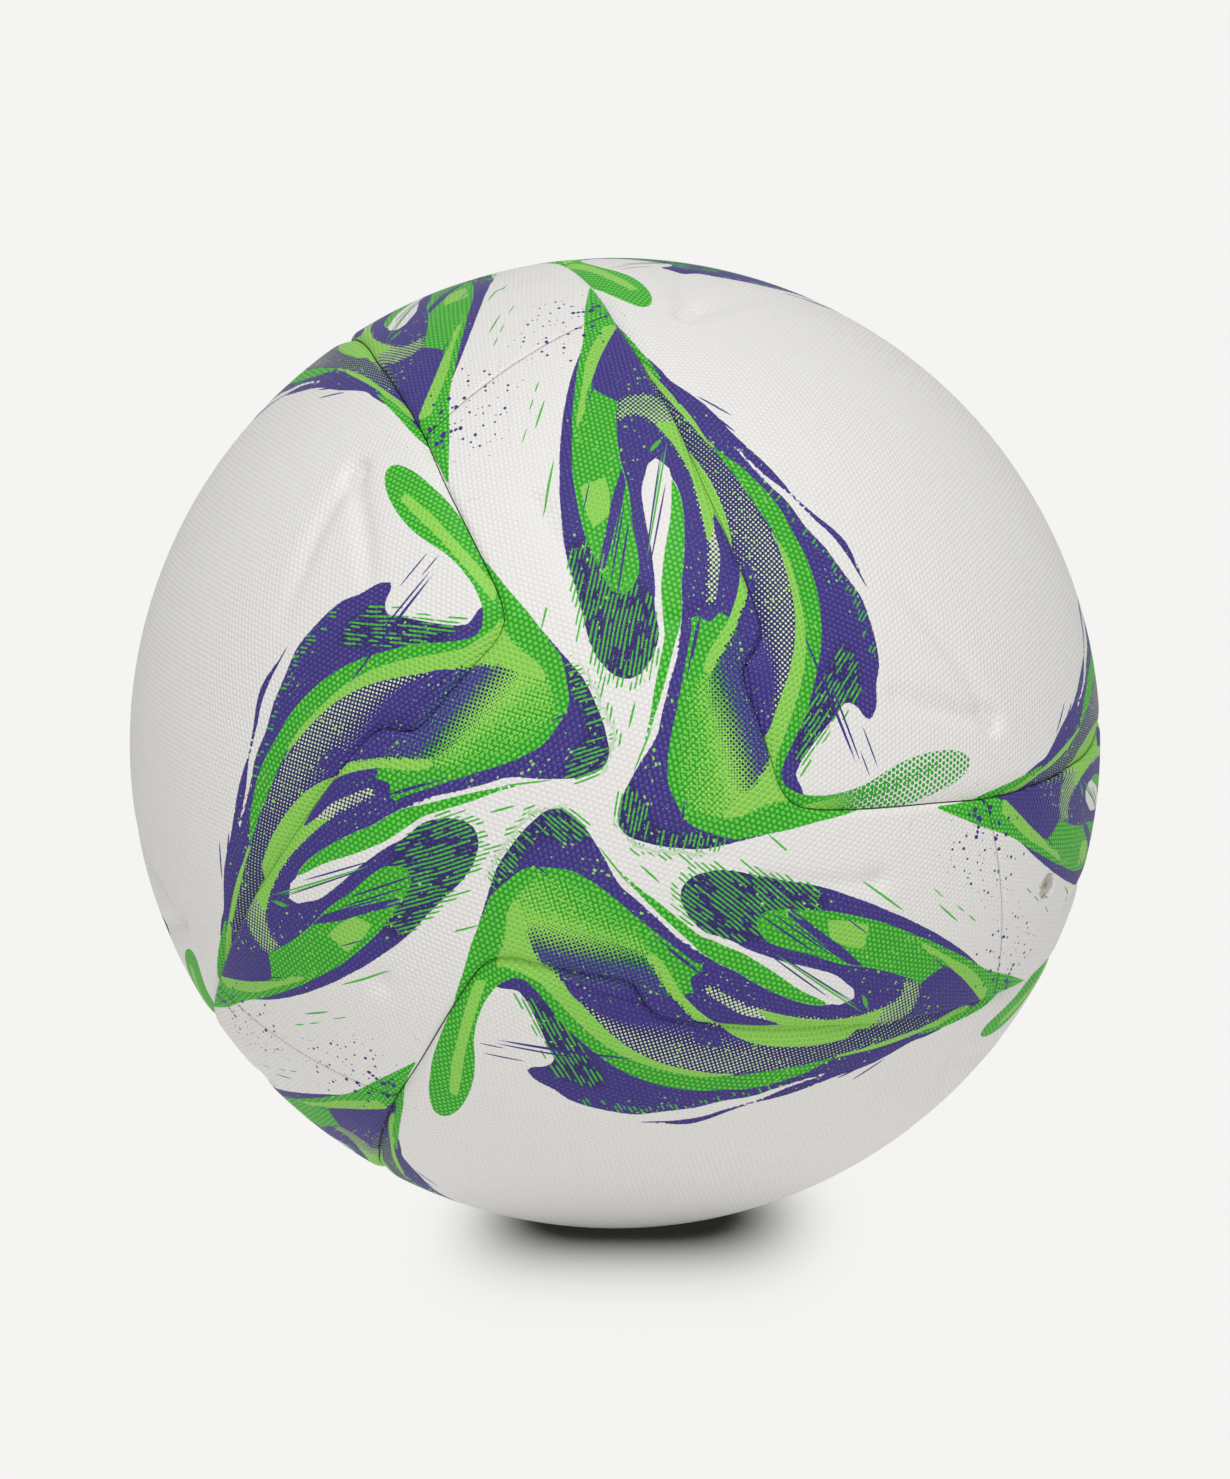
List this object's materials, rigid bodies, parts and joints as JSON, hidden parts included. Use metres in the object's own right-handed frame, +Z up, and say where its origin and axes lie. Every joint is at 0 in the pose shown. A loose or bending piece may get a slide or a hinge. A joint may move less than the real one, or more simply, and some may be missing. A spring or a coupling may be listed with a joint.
{
  "type": "soccer ball",
  "caption": "Full-size soccer ball with a bonded cover of three-armed and three-sided printed panels over foam, a textile carcass, a bladder and a needle valve.",
  "frame": {"origin": "centre of the ball", "axes": "+Z up as the ball stands in its reference view, the front panel's middle faces -Y, +X to the right seen from the front"},
  "size_m": [0.2197, 0.22, 0.2197],
  "materials": {
    "printed_skin": "textured polyurethane, satin, printed in purple and two greens",
    "foam_pad": "closed-cell foam, matte",
    "carcass_fabric": "woven polyester, latex coated",
    "bladder_rubber": "butyl, satin",
    "valve_rubber": "moulded, matte"
  },
  "bodies": {
    "root": {"armed_skin_front": "printed_skin", "armed_skin_right": "printed_skin", "armed_skin_left_upper": "printed_skin", "armed_skin_left_lower": "printed_skin", "triangle_skin_lower": "printed_skin", "triangle_skin_upper": "printed_skin", "triangle_skin_left": "printed_skin", "triangle_skin_rear": "printed_skin", "armed_foam_front": "foam_pad", "armed_foam_right": "foam_pad", "armed_foam_left_upper": "foam_pad", "armed_foam_left_lower": "foam_pad", "triangle_foam_lower": "foam_pad", "triangle_foam_upper": "foam_pad", "triangle_foam_left": "foam_pad", "triangle_foam_rear": "foam_pad", "carcass": "carcass_fabric", "bladder": "bladder_rubber", "valve_socket": "valve_rubber", "valve_plug": "valve_rubber"}
  },
  "joints": []
}
